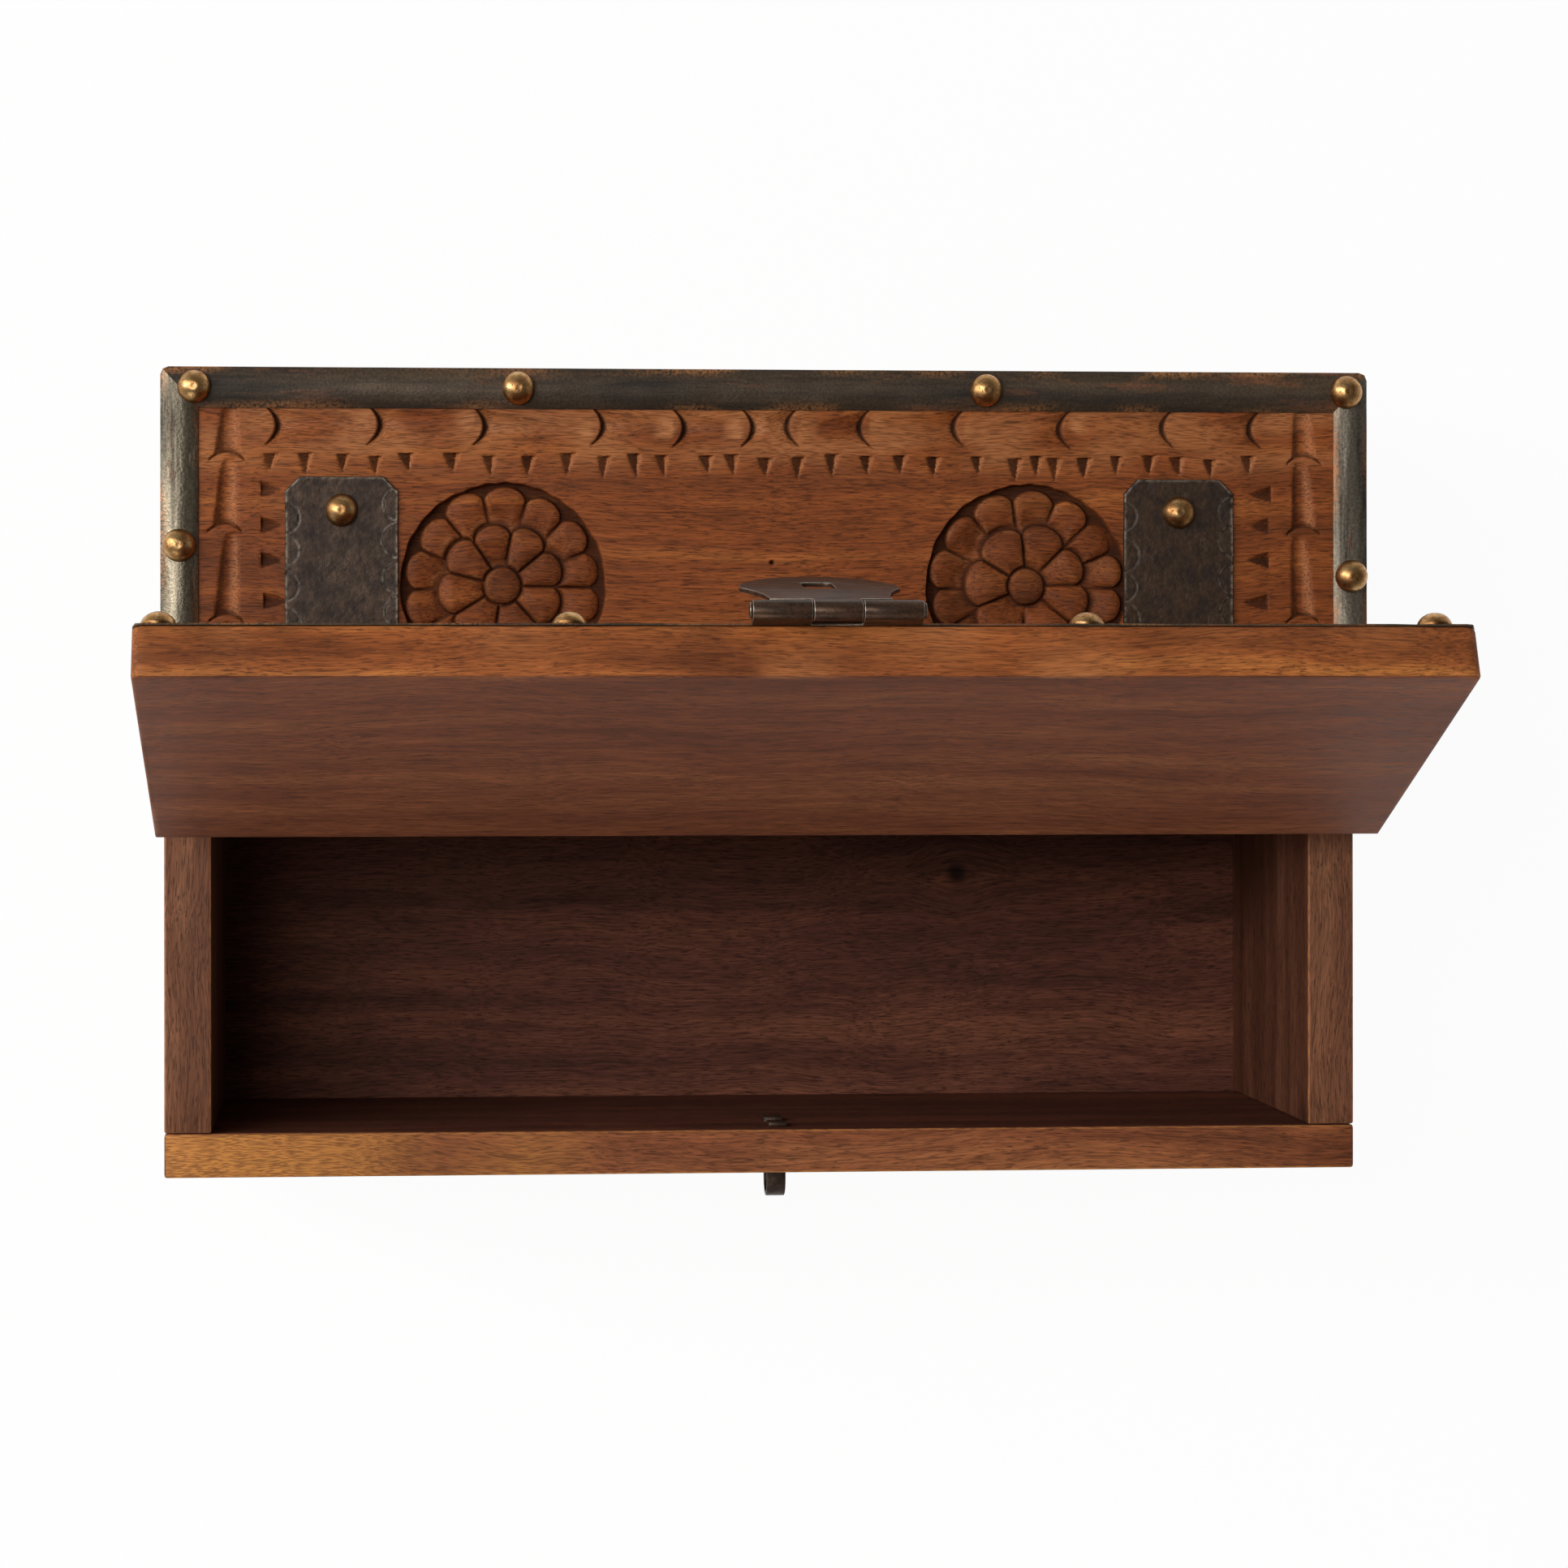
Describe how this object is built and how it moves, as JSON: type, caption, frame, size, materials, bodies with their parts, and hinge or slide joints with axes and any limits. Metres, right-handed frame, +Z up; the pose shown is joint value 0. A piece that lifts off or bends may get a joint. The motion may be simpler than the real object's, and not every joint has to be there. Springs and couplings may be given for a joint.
{
  "type": "stationery box",
  "caption": "Low hinged wooden box for paper and letters, with a carved top that is half fixed and half lid, iron edging, brass studs, strap hinges, and a hasp and staple for a small padlock.",
  "frame": {"origin": "centre of the flat underside of the bottom board", "axes": "+Z up, +Y towards the hinged back of the box, +X to the right seen from the front; the lid is stored standing open and its strap hanging behind it"},
  "size_m": [0.382, 0.2634, 0.2639],
  "materials": {
    "wood": "dark stained hardwood under a thin satin wax",
    "edging_iron": "blackened strip iron with rubbed highlights and a little rust",
    "hinge_iron": "blackened sheet iron, satin",
    "brass": "aged brass, polished on the domes and dark at the rims",
    "steel": "dull dark nails and hinge pins"
  },
  "bodies": {
    "box": {"bottom_board": "wood", "front_wall": "wood", "back_wall": "wood", "left_wall": "wood", "right_wall": "wood", "rear_top_board": "wood", "front_wall_nails": "steel", "back_wall_nails": "steel", "bottom_nails": "steel", "rear_board_nails": "steel", "hasp_staple": "hinge_iron", "left_hinge_rear_leaf": "hinge_iron", "right_hinge_rear_leaf": "hinge_iron", "left_hinge_pin": "steel", "right_hinge_pin": "steel", "rear_edging_back": "edging_iron", "rear_edging_left": "edging_iron", "rear_edging_right": "edging_iron", "rear_edging_studs": "brass", "rear_leaf_studs": "brass"},
    "lid": {"lid_board": "wood", "left_hinge_lid_leaf": "hinge_iron", "right_hinge_lid_leaf": "hinge_iron", "lid_edging_front": "edging_iron", "lid_edging_left": "edging_iron", "lid_edging_right": "edging_iron", "lid_edging_studs": "brass", "lid_leaf_studs": "brass", "hasp_plate": "hinge_iron", "hasp_tacks": "hinge_iron", "hasp_pin": "steel"},
    "hasp": {"hasp_strap": "hinge_iron"}
  },
  "joints": [
    {"name": "lid_hinge", "type": "hinge", "parent": "box", "child": "lid", "pos_m": [0, -0.002, 0.14105], "axis": [-1, 0, 0], "range_deg": [-113, 39]},
    {"name": "hasp_hinge", "type": "hinge", "parent": "lid", "child": "hasp", "pos_m": [0.007, 0.04836, 0.2597], "axis": [-1, 0, 0], "range_deg": [-239, 29]}
  ]
}
